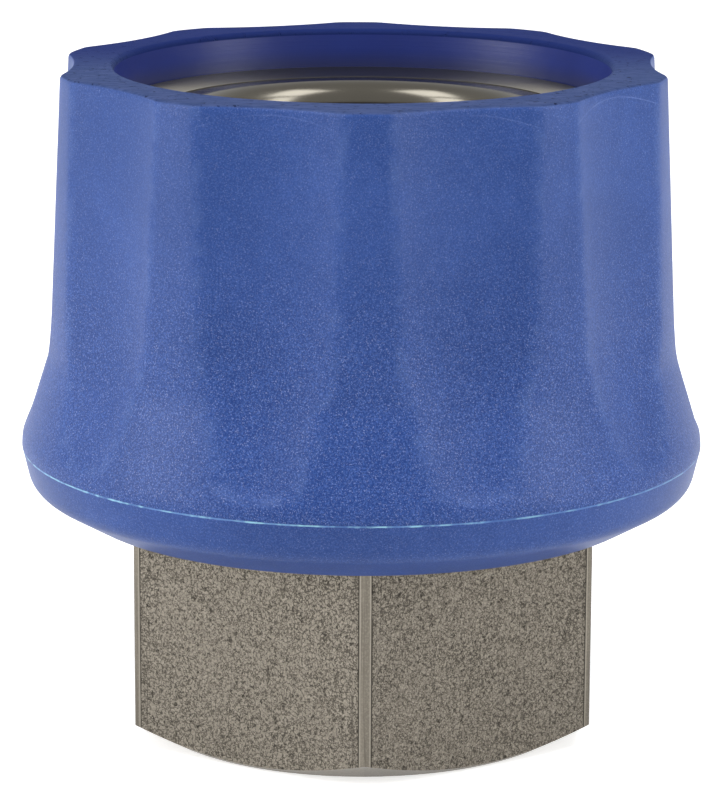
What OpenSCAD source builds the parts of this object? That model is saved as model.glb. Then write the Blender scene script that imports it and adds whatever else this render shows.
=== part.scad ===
// Socket half of a ball-lock quick coupling: steel body with a hexagon and a female
// inlet thread, sprung locking sleeve, fluted plastic grip and a shut-off poppet.
// The origin is the centre of the hexagon's bottom face, and the mouth opens to +Z.

/* [Hexagon and inlet] */
// Width across flats of the hexagon
hex_af = 30; // [30:0.5:31]
// Height of the hexagon
hex_h = 16.6; // [15.6:0.1:16.8]
// Angle of the chamfers on the hexagon's ends
hex_chamfer_a = 30; // [15:1:35]
// Chamfer circle at the hexagon's ends, as a share of the width across flats
chamfer_circle = 0.967; // [0.94:0.005:0.98]
// Radius of the inlet bore, which is the inside of the thread
inlet_r = 9.32; // [8.4:0.02:9.5]
// Depth of the inlet bore
inlet_h = 12; // [11:0.1:12.2]
// Width of the lead-in chamfer at the inlet
inlet_chamfer = 1.2; // [0.4:0.1:1.6]

/* [Socket tube] */
// Radius of the bore for the plug
plug_r = 9.5; // [9.3:0.05:10]
// Wall between the plug's bore and the tube's outside
tube_wall = 3.9; // [3.8:0.05:4.2]
// Wall of the spigot on the hexagon, inside which the tube is screwed
spigot_wall = 2; // [1.8:0.1:2.2]
// Height of the valve's chamber, from its guide to the throat
chamber_h = 8.1; // [7.8:0.1:9]
// Radius of the throat that the poppet shuts
throat_r = 5.8; // [5.4:0.1:6.2]
// Height of the throat
throat_h = 1.2; // [1:0.1:1.6]
// Depth of the plug's nose below the balls' centres
nose_depth = 9.8; // [9.6:0.1:11]
// Depth of the balls' centres below the lip
mouth_depth = 8.2; // [8.2:0.1:9.5]
// Radius of the rounding from the lip into the bore
lip_round = 1.6; // [1:0.1:1.8]
// Width of the lead-in cone below that rounding
lead_in = 1.2; // [0.8:0.1:1.4]

/* [Ball lock] */
// Number of locking balls
ball_count = 8; // [6:1:9]
// How far a locked ball stands into the bore
ball_grip = 1; // [0.8:0.05:1.1]
// Travel of the sleeve from locked to released
sleeve_travel = 3; // [2.6:0.1:3.1]
// How far a ball moves outward over that travel
ball_travel = 1.1; // [1:0.05:1.15]

/* [Locking sleeve] */
// Width of the room for the return spring, between tube and sleeve
room_w = 1.9; // [1.8:0.05:2.2]
// Wall of the sleeve round that room
sleeve_wall = 1; // [0.9:0.05:1.4]
// Height of the solid land between the spring room and the balls' centres
land_h = 3.2; // [3:0.1:3.4]
// How far the dished face's outer edge stands above the lip
dish_h = 0.3; // [0.2:0.05:0.5]
// Width of the flange that the grip pulls on
flange_w = 1; // [0.8:0.1:1.2]
// Thickness of that flange
flange_t = 1.4; // [1.2:0.1:1.6]

/* [Grip] */
// Depth of the sleeve's face below the grip's rim
rim_depth = 2.6; // [2:0.1:3.5]
// Wall of the rim at its lands
rim_wall = 3.95; // [3.8:0.05:4.1]
// How far the skirt hangs over the hexagon
skirt_over = 1.8; // [1.6:0.1:2]
// Wall of the skirt at the parting line
skirt_wall = 4.3; // [4.2:0.05:4.6]
// Height of the parting line above the skirt's lower edge
parting_h = 4.2; // [4:0.1:4.4]
// Draft of the lands, in degrees
land_draft = 2.4; // [2.2:0.1:2.8]
// Slope of the flare above the parting line, in degrees
flare_a = 15.6; // [15.2:0.2:16]
// Slope of the skirt below the parting line, in degrees
skirt_a = 13; // [12:0.5:15]
// Rise of the skirt's turned-in foot, in degrees
foot_a = 30; // [28:1:33]
// Wall of the skirt at its lower edge
foot_wall = 0.7; // [0.6:0.1:1]
// Rounding between the skirt and its foot
foot_round = 1.6; // [1:0.2:2.4]

/* [Flutes] */
// Number of flutes round the grip
flute_count = 10; // [9:1:12]
// Wall of the rim at the floor of a flute
floor_wall = 2.75; // [2.6:0.05:2.9]
// Radius of a flute's own hollow at the rim
flute_r = 20; // [19:0.2:21]
// Draft of the flute floor, in degrees
floor_draft = 3.1; // [2.8:0.1:3.3]
// Height of a flute's lower end above the parting line
flute_up = 1; // [0.8:0.1:1.3]
// Height of the run-out above a flute's lower end
runout_h = 9; // [8.4:0.1:9.4]
// Slope of the run-out, in degrees
runout_a = 20; // [19:0.5:21]
// Radius of the sweep from floor to run-out
runout_sweep = 18; // [14:1:20]
// Rounding at a flute's lower end
flute_nose = 3; // [2.4:0.2:3.4]

/* [Seals] */
// Thickness of the plug seal's ring
seal_d = 2.4; // [2.2:0.1:2.5]
// Thickness of the backup ring
backup_t = 1; // [0.9:0.1:1.1]
// How far the plug seal stands into the bore
seal_squeeze = 0.2; // [0.15:0.05:0.35]
// Thickness of the body seal's ring
body_seal_d = 1.5; // [1.4:0.1:1.6]
// Thickness of the poppet seal's ring
valve_seal_d = 1.5; // [1.4:0.1:1.6]

/* [Springs and rings] */
// Wire of the return spring
return_wire = 1.4; // [1.2:0.1:1.4]
// Turns of the return spring
return_turns = 5; // [4:0.5:5]
// Wire of the valve spring
valve_wire = 0.7; // [0.6:0.05:0.8]
// Turns of the valve spring
valve_turns = 3.5; // [3:0.5:4]
// Thickness of the ring that stops the sleeve
stop_t = 1.2; // [1:0.1:1.2]
// Depth of that ring's groove in the tube
stop_groove = 0.6; // [0.4:0.05:0.7]
// Wire of the ring that holds the grip
grip_wire = 1.2; // [1:0.1:1.2]
// Thickness of the slip washer
washer_t = 0.8; // [0.6:0.1:1]

/* [Shut-off valve] */
// Radius of the poppet's head
head_r = 6.9; // [6.7:0.1:7]
// Radius of the poppet's stem
stem_r = 1.6; // [1.4:0.1:1.8]
// Travel of the poppet
valve_travel = 2.6; // [2.2:0.1:2.7]
// Thickness of the guide's ring and spokes
guide_t = 1.5; // [1.3:0.1:1.6]
// Number of spokes in the guide
spokes = 3; // [3:1:4]

/* [Clearances] */
// Radial play of parts that slide on each other
slide_play = 0.1; // [0.06:0.01:0.12]
// Radial play of parts that are assembled and stay put
fit_play = 0.05; // [0.03:0.01:0.06]
// Gap between a ball and what it bears on
ball_play = 0.03; // [0.02:0.01:0.05]

/* [Hidden] */
$fn = 96;

eps = 0.01;
steel = [0.55, 0.53, 0.50];
bright_steel = [0.80, 0.80, 0.78];
spring_steel = [0.62, 0.64, 0.66];
blue = [0.10, 0.22, 0.62];
rubber = [0.08, 0.08, 0.09];
ptfe = [0.93, 0.93, 0.90];

// Radii, from the plug's bore outward
tube_r = plug_r + tube_wall;
sleeve_bore_r = tube_r + slide_play;
room_r = tube_r + room_w;
relief_r = sleeve_bore_r + ball_travel + 0.1;
pocket_r = relief_r + 0.5;
sleeve_r = max(room_r, pocket_r) + sleeve_wall;
flange_r = sleeve_r + flange_w;
grip_bore_r = sleeve_r + fit_play;
counter_r = flange_r + fit_play;
skirt_bore_r = max(hex_af / sqrt(3) + 1.08, counter_r + 1.05);
rim_land_r = sleeve_r + rim_wall;
floor_r = sleeve_r + floor_wall;
parting_r = skirt_bore_r + skirt_wall;
spigot_r = tube_r - 1;
tail_r = spigot_r - spigot_wall;
shoulder_r = tail_r - 2.5;

// Heights of the body, from the inlet up to the lip
shoulder_z = inlet_h + 0.6;
guide_top = shoulder_z + guide_t;
seat_z = guide_top + chamber_h;
nose_z = seat_z + throat_h;
ball_z = nose_z + nose_depth;
lip_z = ball_z + mouth_depth;
spigot_z = hex_h + sleeve_travel + 1.4;

// Heights of the sleeve and grip
sleeve_z = hex_h + sleeve_travel + 1.4;
flange_top = sleeve_z + flange_t;
land_z = ball_z - land_h;
dish_z = lip_z + dish_h;
rim_z = dish_z + rim_depth;
skirt_z = hex_h - skirt_over;
parting_z = skirt_z + parting_h;
flute_z = parting_z + flute_up;
runout_z = flute_z + runout_h;

// Guide, chamber and seat of the valve
guide_rim_w = 2.4;
hub_r = stem_r + 1.2;
hub_below = 0.35;
hub_above = 0.6;
spoke_w = 1.5;
chamber_r = head_r + 0.7;
seat_h = chamber_r - throat_r;

// Body seal in its groove in the tail
body_groove_w = body_seal_d + 0.5;
body_groove_r = tail_r - body_seal_d - 2 * eps;
body_groove_z = spigot_z - 1.2 - body_groove_w;

// Balls: a locked ball stands ball_grip into the bore and bears on the sleeve's cone
ball_d = tube_wall + slide_play + ball_grip;
ball_r = ball_d / 2;
ball_hole_r = ball_r + fit_play;
ball_locked_r = plug_r - ball_grip + ball_r;
cone_slope = ball_travel / sleeve_travel;
cone_a = atan(cone_slope);
cone_at_ball = ball_locked_r + (ball_r + ball_play) / cos(cone_a);
cone_z0 = ball_z - (cone_at_ball - sleeve_bore_r) / cone_slope;
cone_z1 = cone_z0 + (relief_r - sleeve_bore_r) / cone_slope;

// Plug seal and backup ring in their groove in the bore
seal_groove_r = plug_r - seal_squeeze + seal_d;
seal_groove_w = seal_d + backup_t + 0.2;
seal_groove_z = ball_z - ball_hole_r - 1.2 - seal_groove_w;

// Stop ring in its groove in the tube, and the sleeve's pocket for it
stop_z0 = ball_z + ball_hole_r + 0.5;
stop_z1 = stop_z0 + stop_t;
stop_groove_r = tube_r - stop_groove;
pocket_z1 = stop_z1 + sleeve_travel;

// Ring that holds the grip against the sleeve's flange
ring_groove_depth = 0.6;
ring_z = sleeve_z - grip_wire / 2 - fit_play;
ring_r = counter_r + ring_groove_depth - grip_wire / 2;
ring_gap_a = 24;

// Slip washer and return spring
washer_z = land_z - washer_t;
spring_r = tube_r + room_w / 2;

// Poppet: its seal lies on the head, round the neck, and touches the seat's cone
neck_r = throat_r - 0.5;
collar_r = neck_r + 0.25;
valve_seal_r = neck_r + valve_seal_d / 2;
valve_seal_z = seat_z - (valve_seal_r - throat_r) - (valve_seal_d / 2 + ball_play) * sqrt(2);
head_z1 = valve_seal_z - valve_seal_d / 2;
head_z0 = head_z1 - 1.2;
collar_z0 = valve_seal_z + valve_seal_d * 0.43;
nose_r = throat_r - 0.9;
nose_top = nose_z;
stem_z = shoulder_z - hub_below;
valve_coil_r0 = chamber_r - guide_rim_w - 0.2;
valve_coil_r1 = stem_r + 1.7;

function arc(cx, cy, r, a0, a1, n = 8) =
    [for (i = [0:n]) let (a = a0 + (a1 - a0) * i / n) [cx + r * cos(a), cy + r * sin(a)]];

function ball_angle(i) = 360 * (i + 0.5) / ball_count;

// Flat ring from radius r0 to r1
module flat_ring(r0, r1, z0, z1) {
    translate([0, 0, z0]) difference() {
        cylinder(r = r1, h = z1 - z0);
        translate([0, 0, -eps]) cylinder(r = r0, h = z1 - z0 + 2 * eps);
    }
}

module round_ring(mean_r, wire_d, gap_a = 0) {
    rotate(gap_a / 2) rotate_extrude(angle = 360 - gap_a)
        translate([mean_r, 0]) circle(d = wire_d, $fn = 32);
}

// Round wire wound from radius r0 at z0 to radius r1 at z1, its ends nearly closed
module coil(r0, r1, wire_d, z0, z1, turns, sides = 8, steps = 24) {
    n = round(turns * steps);
    closed = 0.75;
    pitch = wire_d * 1.08;
    rise = (z1 - z0 - wire_d - 2 * closed * pitch) / (turns - 2 * closed);
    function climb(t) =
        t < closed ? t * pitch
        : t < turns - closed ? closed * pitch + (t - closed) * rise
        : z1 - z0 - wire_d - (turns - t) * pitch;
    points = [for (i = [0:n]) let (t = i / steps, r = r0 + (r1 - r0) * i / n)
        for (j = [0:sides - 1]) let (a = 360 * j / sides, w = wire_d / 2)
            [(r + w * cos(a)) * cos(360 * t), (r + w * cos(a)) * sin(360 * t),
             z0 + w + climb(t) + w * sin(a)]];
    walls = [for (i = [0:n - 1]) for (j = [0:sides - 1]) let (k = (j + 1) % sides)
        [i * sides + j, i * sides + k, (i + 1) * sides + k, (i + 1) * sides + j]];
    first = [for (j = [0:sides - 1]) sides - 1 - j];
    last = [for (j = [0:sides - 1]) n * sides + j];
    polyhedron(points = points, faces = concat([first], walls, [last]), convexity = 10);
}

module hexagon_bar() {
    circle_r = chamfer_circle * hex_af / 2;
    corner_r = hex_af / sqrt(3) + 1;
    drop = (corner_r - circle_r) * tan(hex_chamfer_a);
    intersection() {
        cylinder(r = hex_af / sqrt(3), h = hex_h, $fn = 6);
        rotate_extrude() polygon([
            [0, 0], [circle_r, 0], [corner_r, drop], [corner_r, hex_h - drop],
            [circle_r, hex_h], [0, hex_h]]);
    }
}

module hex_body() {
    color(steel) difference() {
        union() {
            rotate(30) hexagon_bar();
            translate([0, 0, hex_h - eps]) cylinder(r = spigot_r, h = spigot_z - hex_h + eps);
        }
        translate([0, 0, -eps]) cylinder(r = shoulder_r, h = spigot_z + 2 * eps);
        translate([0, 0, -eps]) cylinder(r = inlet_r, h = inlet_h + eps);
        translate([0, 0, -eps]) cylinder(r1 = inlet_r + inlet_chamfer + eps, r2 = inlet_r,
                                         h = inlet_chamfer + eps);
        translate([0, 0, shoulder_z]) cylinder(r = tail_r, h = spigot_z - shoulder_z + eps);
    }
}

module ball_hole(angle) {
    seat_r = ball_r * 0.85;
    seat_x = plug_r - 0.1;
    wide_x = ball_locked_r - 0.4;
    rotate(angle) translate([0, 0, ball_z]) rotate([0, 90, 0]) {
        translate([0, 0, seat_x - 0.4]) cylinder(r = seat_r, h = 0.5);
        translate([0, 0, seat_x]) cylinder(r1 = seat_r, r2 = ball_hole_r, h = wide_x - seat_x);
        translate([0, 0, wide_x - eps]) cylinder(r = ball_hole_r, h = tube_r - wide_x + 1);
    }
}

// Half section of the tube from its tail to the rounded lip, bore included
module socket_section() {
    lip_edge = 0.2;
    lead_z = lip_z - lip_round - lead_in * 1.4;
    difference() {
        polygon(concat(
            [[chamber_r, guide_top], [tail_r - fit_play, guide_top], [tail_r - fit_play, spigot_z],
             [tube_r, spigot_z]],
            [[tube_r, lip_z - lip_edge], [tube_r - lip_edge, lip_z]],
            arc(plug_r + lead_in + lip_round, lip_z - lip_round, lip_round, 90, 180),
            [[plug_r, lead_z], [plug_r, nose_z], [throat_r, nose_z], [throat_r, seat_z],
             [chamber_r, seat_z - seat_h]]));
        translate([plug_r - eps, seal_groove_z])
            square([seal_groove_r - plug_r + eps, seal_groove_w]);
        translate([body_groove_r, body_groove_z])
            square([tail_r - body_groove_r + 1, body_groove_w]);
        translate([stop_groove_r, stop_z0 - fit_play / 2])
            square([stop_groove + 1, stop_t + fit_play]);
    }
}

module socket_body() {
    color(steel) difference() {
        rotate_extrude() socket_section();
        for (i = [0:ball_count - 1]) ball_hole(ball_angle(i));
    }
}

module locking_ball(i) {
    color(bright_steel) rotate(ball_angle(i)) translate([ball_locked_r, 0, ball_z])
        sphere(r = ball_r);
}

module body_seal() {
    color(rubber) translate([0, 0, body_groove_z + body_groove_w / 2])
        round_ring(tail_r - body_seal_d / 2 - eps, body_seal_d);
}

module plug_seal() {
    color(rubber) translate([0, 0, seal_groove_z + backup_t + 0.1 + seal_d / 2])
        round_ring(seal_groove_r - seal_d / 2, seal_d);
}

module backup_ring() {
    color(ptfe) rotate_extrude() translate([plug_r + 0.1, seal_groove_z])
        square([seal_groove_r - plug_r - 0.1, backup_t]);
}

module stop_ring() {
    color(spring_steel) rotate_extrude(angle = 360 - ring_gap_a)
        translate([stop_groove_r + fit_play, stop_z0])
            square([pocket_r - slide_play - stop_groove_r - fit_play, stop_t]);
}

module slip_washer() {
    color(bright_steel) flat_ring(sleeve_bore_r + 0.05, room_r - slide_play, washer_z, land_z);
}

module return_spring() {
    color(spring_steel) coil(spring_r, spring_r, return_wire, hex_h, washer_z, return_turns);
}

// Half section of the sleeve: flange, spring room, lock land, ball cone, ring pocket, dish
module sleeve_section() {
    edge = 0.25;
    polygon([
        [room_r, sleeve_z], [flange_r, sleeve_z], [flange_r, flange_top], [sleeve_r, flange_top],
        [sleeve_r, dish_z - edge], [sleeve_r - edge, dish_z],
        [sleeve_bore_r, lip_z],
        [sleeve_bore_r, pocket_z1], [pocket_r, pocket_z1], [pocket_r, stop_z0],
        [relief_r, stop_z0], [relief_r, cone_z1], [sleeve_bore_r, cone_z0],
        [sleeve_bore_r, land_z], [room_r, land_z]]);
}

module locking_sleeve() {
    color(bright_steel) rotate_extrude() sleeve_section();
}

// Outer edge of the grip, from the skirt's foot up to the rim
function grip_edge() =
    let (
        blend_r = 6,
        widest_r = 4.4,
        // the convex stretch just above the parting line, up to the flare's slope
        bulge = arc(parting_r - widest_r, parting_z, widest_r, 0, flare_a, 5),
        // the land's straight line, and where the flare meets it
        flare_from = bulge[5],
        k_land = tan(land_draft),
        k_flare = tan(flare_a),
        meet_z = (flare_from[0] + flare_from[1] * k_flare - rim_land_r - rim_z * k_land)
                 / (k_flare - k_land),
        meet_r = rim_land_r + (rim_z - meet_z) * k_land,
        blend_l = blend_r * tan((flare_a - land_draft) / 2),
        hollow_r = meet_r + blend_l * sin(flare_a) + blend_r * cos(flare_a),
        hollow_z = meet_z - blend_l * cos(flare_a) + blend_r * sin(flare_a),
        // the skirt below the parting line, and where its turned-in foot meets it
        k_skirt = tan(skirt_a),
        foot_r = skirt_bore_r + foot_wall,
        foot_z = (parting_r - foot_r - parting_z * k_skirt + skirt_z / tan(foot_a))
                 / (1 / tan(foot_a) - k_skirt),
        foot_l = foot_round * tan((90 - foot_a - skirt_a) / 2),
        turn_r = parting_r - (parting_z - foot_z) * k_skirt + foot_l * sin(skirt_a)
                 - foot_round * cos(skirt_a),
        turn_z = foot_z + foot_l * cos(skirt_a) + foot_round * sin(skirt_a),
        // the rounded edges of the foot and the rim
        foot_edge = 0.3,
        rim_round = 0.3
    )
    concat(
        arc(foot_r - foot_edge * tan(foot_a / 2), skirt_z + foot_edge, foot_edge, -90, foot_a - 90, 2),
        arc(turn_r, turn_z, foot_round, foot_a - 90, -skirt_a, 5),
        bulge,
        arc(hollow_r, hollow_z, blend_r, 180 + flare_a, 180 + land_draft, 5),
        arc(rim_land_r - rim_round, rim_z - rim_round, rim_round, land_draft, 90, 3));

module grip_section() {
    rim_lip = 0.35;
    shoulder = flange_top + fit_play;
    polygon(concat(
        grip_edge(),
        [[grip_bore_r + rim_lip, rim_z], [grip_bore_r, rim_z - rim_lip],
         [grip_bore_r, shoulder], [counter_r, shoulder],
         [counter_r, ring_z + grip_wire / 2], [counter_r + ring_groove_depth, ring_z + grip_wire / 2],
         [counter_r + ring_groove_depth, ring_z - grip_wire / 2],
         [counter_r, ring_z - grip_wire / 2],
         [counter_r, ring_z - grip_wire], [skirt_bore_r, ring_z - grip_wire - 0.8],
         [skirt_bore_r, skirt_z]]));
}

// Cutter for one flute: its own axis stands outside the grip, and its radius follows
// the flute floor down the draft, round the sweep and along the run-out to a round nose
module flute_cutter() {
    axis_r = floor_r + flute_r;
    above = 2;
    k = tan(floor_draft);
    start_r = flute_r - (rim_z - runout_z) * k;
    sweep = arc(start_r - runout_sweep * cos(floor_draft), runout_z + runout_sweep * sin(floor_draft),
                runout_sweep, -floor_draft, -runout_a, 6);
    swept = sweep[6];
    nose_top_z = flute_z + 0.37 * flute_nose;
    run_r = swept[0] - (swept[1] - nose_top_z) * tan(runout_a);
    translate([axis_r, 0, 0]) rotate_extrude() polygon(concat(
        [[0, rim_z + above], [flute_r + above * k, rim_z + above]],
        sweep,
        arc(run_r - flute_nose * cos(runout_a), nose_top_z + flute_nose * sin(runout_a),
            flute_nose, -runout_a, -90, 5),
        [[0, nose_top_z + flute_nose * sin(runout_a) - flute_nose]]));
}

module grip_sleeve() {
    color(blue) difference() {
        rotate_extrude() grip_section();
        for (i = [0:flute_count - 1])
            rotate(-90 + 360 * (i + 0.5) / flute_count) flute_cutter();
    }
}

module grip_retaining_ring() {
    color(spring_steel) translate([0, 0, ring_z]) round_ring(ring_r, grip_wire, ring_gap_a);
}

// Poppet: stem, head, neck for its seal, collar, and a nose through the throat
module poppet_section() {
    nose_round = 0.8;
    polygon(concat(
        [[0, stem_z], [stem_r - 0.3, stem_z], [stem_r, stem_z + 0.3], [stem_r, head_z0],
         [head_r, head_z0], [head_r, head_z1], [neck_r, head_z1], [neck_r, collar_z0],
         [collar_r, collar_z0], [collar_r, collar_z0 + 0.3], [nose_r, seat_z + 0.1]],
        arc(nose_r - nose_round, nose_top - nose_round, nose_round, 0, 90, 4),
        [[0, nose_top]]));
}

module valve_poppet() {
    color(bright_steel) rotate_extrude() poppet_section();
}

module valve_seal() {
    color(rubber) translate([0, 0, valve_seal_z]) round_ring(valve_seal_r, valve_seal_d);
}

module valve_spring() {
    color(spring_steel) coil(valve_coil_r0, valve_coil_r1, valve_wire, guide_top, head_z0, valve_turns);
}

module valve_guide() {
    rim_r = tail_r - fit_play;
    color(ptfe) difference() {
        union() {
            flat_ring(chamber_r - guide_rim_w / 2, rim_r, shoulder_z, guide_top);
            translate([0, 0, shoulder_z - hub_below])
                cylinder(r = hub_r, h = guide_t + hub_below + hub_above);
            for (i = [0:spokes - 1]) rotate(360 * i / spokes)
                translate([0, -spoke_w / 2, shoulder_z])
                    cube([rim_r - 1, spoke_w, guide_t]);
        }
        translate([0, 0, shoulder_z - hub_below - eps])
            cylinder(r = stem_r + slide_play, h = guide_t + hub_below + hub_above + 2 * eps);
    }
}

hex_body();
socket_body();
body_seal();
valve_guide();
valve_spring();
valve_poppet();
valve_seal();
plug_seal();
backup_ring();
stop_ring();
slip_washer();
return_spring();
locking_sleeve();
grip_sleeve();
grip_retaining_ring();
for (i = [1:ball_count])
    locking_ball(i - 1);
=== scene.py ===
"""Looks of the socket half of a quick coupling: steel body with a hexagon, polished steel
mouth, fluted blue grip, and the lock and valve inside. Everything is in metres, in the
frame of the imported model."""

import math

import bmesh
import bpy
from mathutils import Matrix, Vector


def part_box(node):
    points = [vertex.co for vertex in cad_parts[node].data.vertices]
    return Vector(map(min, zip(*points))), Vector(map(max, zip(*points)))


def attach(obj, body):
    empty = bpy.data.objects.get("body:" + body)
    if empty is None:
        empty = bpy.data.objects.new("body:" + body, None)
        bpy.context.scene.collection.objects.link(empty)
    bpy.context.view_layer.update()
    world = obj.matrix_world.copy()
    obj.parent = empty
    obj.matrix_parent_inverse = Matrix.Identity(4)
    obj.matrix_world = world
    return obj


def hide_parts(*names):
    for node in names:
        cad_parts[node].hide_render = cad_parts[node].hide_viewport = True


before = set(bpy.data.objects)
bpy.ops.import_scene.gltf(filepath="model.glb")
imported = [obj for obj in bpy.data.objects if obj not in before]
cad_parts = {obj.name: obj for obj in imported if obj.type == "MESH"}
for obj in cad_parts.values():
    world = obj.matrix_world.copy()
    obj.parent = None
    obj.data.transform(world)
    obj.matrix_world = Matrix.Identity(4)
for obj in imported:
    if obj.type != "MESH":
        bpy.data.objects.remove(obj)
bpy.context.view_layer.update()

MM = 0.001


# The drawing of node trees

class Flow:
    """What comes out of one socket. Python's operators on it add Math nodes."""

    def __init__(self, board, socket):
        self.board = board
        self.socket = socket

    def maths(self, operation, *values):
        values = dict(enumerate(values))
        return self.board.node("ShaderNodeMath", {"operation": operation}, values)

    def __add__(self, other):
        return self.maths("ADD", self, other)

    def __radd__(self, other):
        return self.maths("ADD", other, self)

    def __sub__(self, other):
        return self.maths("SUBTRACT", self, other)

    def __rsub__(self, other):
        return self.maths("SUBTRACT", other, self)

    def __mul__(self, other):
        return self.maths("MULTIPLY", self, other)

    def __rmul__(self, other):
        return self.maths("MULTIPLY", other, self)

    def __truediv__(self, other):
        return self.maths("DIVIDE", self, other)

    def __rtruediv__(self, other):
        return self.maths("DIVIDE", other, self)

    def __neg__(self):
        return self.maths("MULTIPLY", self, -1.0)

    def root(self):
        return self.maths("SQRT", self)

    def size(self):
        return self.maths("ABSOLUTE", self)

    def sine(self):
        return self.maths("SINE", self)

    def cosine(self):
        return self.maths("COSINE", self)

    def tangent(self):
        return self.maths("TANGENT", self)

    def over(self, low):
        return self.maths("MAXIMUM", self, low)

    def under(self, high):
        return self.maths("MINIMUM", self, high)

    def between(self, low, high):
        return self.over(low).under(high)

    def part(self, name):
        """Another output of the node that this comes from."""
        return Flow(self.board, self.socket.node.outputs[name])


class Board:
    """A node tree that is being drawn."""

    def __init__(self, tree):
        self.tree = tree

    def node(self, kind, settings=None, inputs=None, out=0):
        made = self.tree.nodes.new(kind)
        for name, value in (settings or {}).items():
            setattr(made, name, value)
        for name, value in (inputs or {}).items():
            self.feed(made.inputs[name], value)
        return Flow(self, made.outputs[out]) if made.outputs else made

    def feed(self, socket, value):
        if isinstance(value, Flow):
            self.tree.links.new(value.socket, socket)
        else:
            socket.default_value = value

    def ramp(self, value, low, high, start=0.0, end=1.0):
        """start where value is at low or under, end at high or over, smooth between."""
        return self.node(
            "ShaderNodeMapRange", {"interpolation_type": "SMOOTHSTEP"},
            {"Value": value, "From Min": low, "From Max": high, "To Min": start, "To Max": end},
        )


class Finish(Board):
    """A material on the shader's own sockets, with patterns on Object coordinates."""

    def __init__(self, name, colour, roughness, metallic=0.0, **constants):
        self.material = bpy.data.materials.new(name)
        self.material.use_nodes = True
        super().__init__(self.material.node_tree)
        self.tree.nodes.clear()
        self.shader = self.tree.nodes.new("ShaderNodeBsdfPrincipled")
        self.surface = Flow(self, self.shader.outputs[0])
        self.output = self.tree.nodes.new("ShaderNodeOutputMaterial")
        self.tree.links.new(self.surface.socket, self.output.inputs["Surface"])
        self.put(base_color=(*colour, 1.0), roughness=roughness, metallic=metallic, **constants)
        self.place = self.node("ShaderNodeTexCoord", out="Object")
        self.x = self.node("ShaderNodeSeparateXYZ", None, {0: self.place})
        self.y, self.z = self.x.part("Y"), self.x.part("Z")
        self.radius = (self.x * self.x + self.y * self.y).root()

    def put(self, **inputs):
        for name, value in inputs.items():
            words = name.replace("_", " ").title().replace("Ior", "IOR")
            self.feed(self.shader.inputs[words], value)

    def second(self, share, **constants):
        """A second finish that takes over where share is 1. What is put after this goes to it."""
        self.shader = self.tree.nodes.new("ShaderNodeBsdfPrincipled")
        layers = {0: share, 1: self.surface, 2: Flow(self, self.shader.outputs[0])}
        self.surface = self.node("ShaderNodeMixShader", None, layers)
        self.tree.links.new(self.surface.socket, self.output.inputs["Surface"])
        self.put(**constants)

    def noise(self, size, detail=2.0, roughness=0.5, stretch=None, offset=(0, 0, 0)):
        """Cloudy noise between 0 and 1 whose patches are about size wide, in metres."""
        place = self.place
        if stretch or any(offset):
            place = self.node(
                "ShaderNodeMapping", None,
                {"Vector": place, "Scale": stretch or (1, 1, 1), "Location": offset},
            )
        return self.node(
            "ShaderNodeTexNoise", None,
            {"Vector": place, "Scale": 1 / size, "Detail": detail, "Roughness": roughness},
        )

    def tint(self, share, first, second):
        """first where share is 0, second where it is 1: each a colour or the flow of one."""
        sides = [c if isinstance(c, Flow) else (*c, 1.0) for c in (first, second)]
        # the Mix node takes colours at sockets 6 and 7 and gives one at output 2
        return self.node(
            "ShaderNodeMix", {"data_type": "RGBA"},
            {0: share, 6: sides[0], 7: sides[1]}, out=2,
        )

    def relief(self, height, distance, strength=1.0):
        """Bump whose height of 1 stands distance proud of the surface."""
        inputs = {"Height": height, "Distance": distance, "Strength": strength}
        return self.node("ShaderNodeBump", None, inputs)

    def attribute(self, name):
        return self.node("ShaderNodeAttribute", {"attribute_name": name}, out="Fac")


def colour(red, green, blue):
    """A colour given as a picture shows it, 0 to 255, in the shader's own linear scale."""
    def linear(value):
        value /= 255
        return value / 12.92 if value <= 0.04045 else ((value + 0.055) / 1.055) ** 2.4
    return tuple(linear(v) for v in (red, green, blue))


# Sizes of the coupling, in metres, as the frame has them

hex_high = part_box("hex_body")[1]
grip_low, grip_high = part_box("grip_sleeve")
sleeve_low, sleeve_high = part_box("locking_sleeve")
tube_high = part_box("socket_body")[1]

apothem = hex_high.x
hex_top = 16.6 * MM
chamfer_slope = math.tan(math.radians(30))
chamfer_circle = 14.505 * MM
spigot_radius = 12.4 * MM
spigot_top = hex_high.z
tail_radius = 10.4 * MM
shoulder_radius = 7.9 * MM
shoulder_height = 12.6 * MM
inlet_radius = 9.32 * MM
inlet_depth = 12.0 * MM
inlet_chamfer = 1.2 * MM
thread_pitch = 1.814 * MM
thread_depth = 1.162 * MM

plug_radius = 9.5 * MM
tube_radius = 13.4 * MM
chamber_radius = 7.6 * MM
throat_radius = 5.8 * MM
guide_top = 14.1 * MM
seat_height = 22.2 * MM
nose_height = 23.4 * MM
lip_height = tube_high.z
lip_round = 1.6 * MM
lead_in = 1.2 * MM
seal_groove = (25.85 * MM, 29.45 * MM, 11.7 * MM)
body_groove = (17.8 * MM, 19.8 * MM, 8.88 * MM)
stop_groove = (36.225 * MM, 37.475 * MM, 12.8 * MM)
ball_height = 33.2 * MM
ball_radius = 2.5 * MM
ball_middle = 11.0 * MM
ball_count = 8

sleeve_bottom = sleeve_low.z
dish_edge = sleeve_high.z
sleeve_bore = 13.5 * MM
sleeve_outer = 16.3 * MM
flange_radius = sleeve_high.x
flange_top = 22.4 * MM
spring_room = 15.3 * MM
land_bottom = 30.0 * MM
relief_radius = 14.7 * MM
pocket_radius = 15.2 * MM

rim_height = grip_high.z
skirt_foot = grip_low.z
grip_radius = grip_high.x
parting_height = 19.0 * MM
rim_land = 20.25 * MM
grip_bore = 16.35 * MM
counter_bore = 17.35 * MM
skirt_bore = 18.4 * MM
flute_count = 10
first_flute = math.radians(-72)


# Making meshes

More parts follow.
